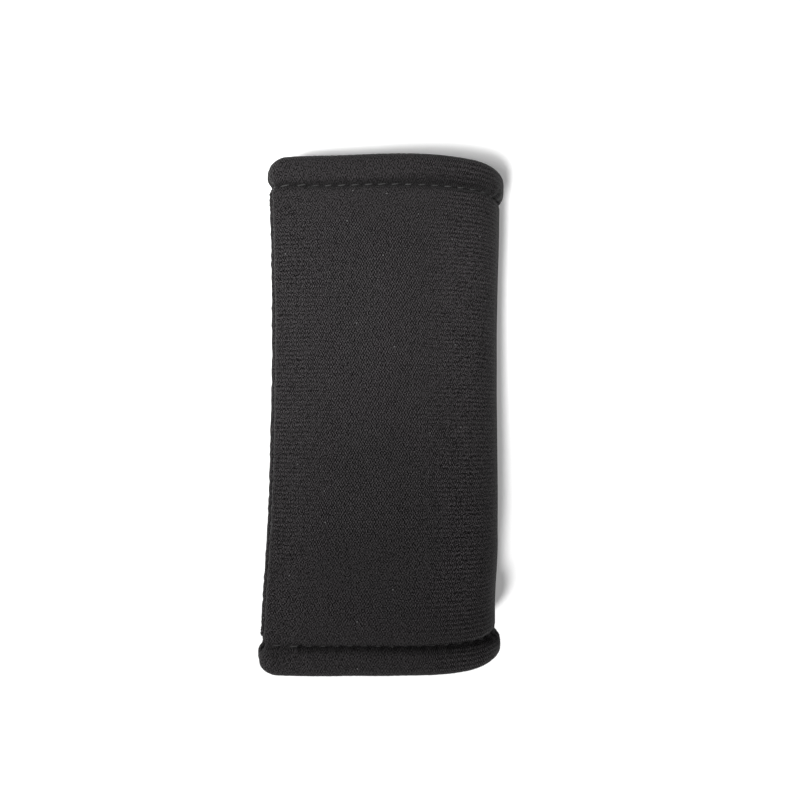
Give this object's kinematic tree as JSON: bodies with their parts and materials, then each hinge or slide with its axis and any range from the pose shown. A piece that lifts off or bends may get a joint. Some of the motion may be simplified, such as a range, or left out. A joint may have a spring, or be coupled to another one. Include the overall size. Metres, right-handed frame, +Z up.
{
  "type": "wrist support sleeve",
  "caption": "Pull-on tubular wrist support of black foam laminate, with turned and stitched ends and one side seam, lying flat.",
  "frame": {"origin": "middle of the footprint, on the surface that the sleeve lies on", "axes": "+X from the side seam to the folded side, +Y along the forearm to the top hem, +Z up through the flattened sleeve"},
  "size_m": [0.0778, 0.16, 0.0316],
  "materials": {
    "outer_knit": "fine matt black nylon jersey with a faint nap",
    "foam": "matt black closed-cell foam",
    "lining_knit": "matt black nylon jersey",
    "hem_thread": "twisted dark grey sewing thread, slightly glossy",
    "seam_thread": "twisted black sewing thread"
  },
  "bodies": {
    "root": {"outer_jersey": "outer_knit", "foam_core": "foam", "inner_lining": "lining_knit", "top_hem_needle_thread": "hem_thread", "top_hem_bobbin_thread": "hem_thread", "bottom_hem_needle_thread": "hem_thread", "bottom_hem_bobbin_thread": "hem_thread", "side_seam_needle_thread": "seam_thread", "side_seam_upper_looper": "seam_thread", "side_seam_lower_looper": "seam_thread"}
  },
  "joints": []
}
